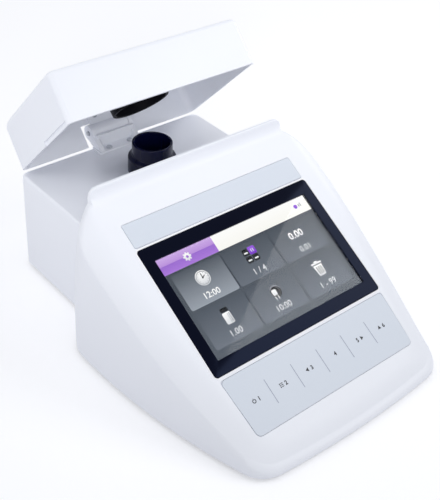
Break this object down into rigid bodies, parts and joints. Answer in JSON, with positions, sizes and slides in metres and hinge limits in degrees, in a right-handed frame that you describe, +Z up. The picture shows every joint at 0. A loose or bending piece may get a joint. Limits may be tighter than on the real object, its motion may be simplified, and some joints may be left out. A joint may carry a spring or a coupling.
{
  "type": "benchtop turbidity meter",
  "caption": "Benchtop turbidity meter: sloping console with a wide touch display and a membrane keypad, and a sample compartment behind it under a hinged lid.",
  "frame": {"origin": "middle of the footprint's bounding box, on the desk under the feet", "axes": "+X to the user's right, +Y away from the user towards the sample compartment, +Z up; the display faces -Y and up"},
  "size_m": [0.2486, 0.3474, 0.2058],
  "materials": {
    "white_plastic": "satin",
    "grey_plastic": "satin",
    "black_gloss_plastic": "gloss",
    "black_plastic": "satin",
    "clear_glass": "polished",
    "screen": "gloss",
    "steel": "zinc plated",
    "circuit_board": "solder mask",
    "silicone": "matte",
    "rubber_foot": "matte"
  },
  "bodies": {
    "meter": {"console_housing": "white_plastic", "compartment_housing": "white_plastic", "hinge_bracket": "white_plastic", "header_strip": "grey_plastic", "keypad_overlay": "grey_plastic", "base_plate": "grey_plastic", "display_bezel": "black_gloss_plastic", "sample_port_collar": "black_plastic", "sample_well": "black_plastic", "optics_block": "black_plastic", "transmitted_light_detector": "black_plastic", "scattered_light_detector": "black_plastic", "power_jack": "black_plastic", "display_glass": "clear_glass", "lamp_lens": "clear_glass", "screen_module": "screen", "screen_tray": "steel", "lamp_module": "steel", "clock_cell": "steel", "data_port": "steel", "hinge_pin": "steel", "key_board_screw_1": "steel", "key_board_screw_2": "steel", "optics_screw_1": "steel", "optics_screw_2": "steel", "housing_screw_1": "steel", "housing_screw_2": "steel", "housing_screw_3": "steel", "housing_screw_4": "steel", "housing_screw_5": "steel", "housing_screw_6": "steel", "housing_screw_7": "steel", "housing_screw_8": "steel", "main_board_screw_1": "steel", "main_board_screw_2": "steel", "socket_board_screw_1": "steel", "socket_board_screw_2": "steel", "bracket_screw_1": "steel", "bracket_screw_2": "steel", "display_board": "circuit_board", "key_board": "circuit_board", "main_board": "circuit_board", "socket_board": "circuit_board", "front_left_foot": "rubber_foot", "front_right_foot": "rubber_foot", "rear_left_foot": "rubber_foot", "rear_right_foot": "rubber_foot"},
    "lid": {"lid_shell": "white_plastic", "lid_hinge_leaf": "white_plastic", "friction_sleeve": "black_plastic", "leaf_screw_1": "steel", "leaf_screw_2": "steel", "light_seal": "black_plastic", "seal_screw": "steel"},
    "key_1": {"key_plunger_1": "silicone"},
    "key_2": {"key_plunger_2": "silicone"},
    "key_3": {"key_plunger_3": "silicone"},
    "key_4": {"key_plunger_4": "silicone"},
    "key_5": {"key_plunger_5": "silicone"},
    "key_6": {"key_plunger_6": "silicone"}
  },
  "joints": [
    {"name": "lid_hinge", "type": "hinge", "parent": "meter", "child": "lid", "pos_m": [0, 0.15361, 0.1056], "axis": [-1, 0, 0], "range_deg": [-46, 0]},
    {"name": "key_1_travel", "type": "slide", "parent": "meter", "child": "key_1", "axis": [0, 0.4915, -0.8709], "range_m": [0, 0.0004], "stiffness_N_per_m": 2500},
    {"name": "key_2_travel", "type": "slide", "parent": "meter", "child": "key_2", "axis": [0, 0.4915, -0.8709], "range_m": [0, 0.0004], "stiffness_N_per_m": 2500},
    {"name": "key_3_travel", "type": "slide", "parent": "meter", "child": "key_3", "axis": [0, 0.4915, -0.8709], "range_m": [0, 0.0004], "stiffness_N_per_m": 2500},
    {"name": "key_4_travel", "type": "slide", "parent": "meter", "child": "key_4", "axis": [0, 0.4915, -0.8709], "range_m": [0, 0.0004], "stiffness_N_per_m": 2500},
    {"name": "key_5_travel", "type": "slide", "parent": "meter", "child": "key_5", "axis": [0, 0.4915, -0.8709], "range_m": [0, 0.0004], "stiffness_N_per_m": 2500},
    {"name": "key_6_travel", "type": "slide", "parent": "meter", "child": "key_6", "axis": [0, 0.4915, -0.8709], "range_m": [0, 0.0004], "stiffness_N_per_m": 2500}
  ]
}
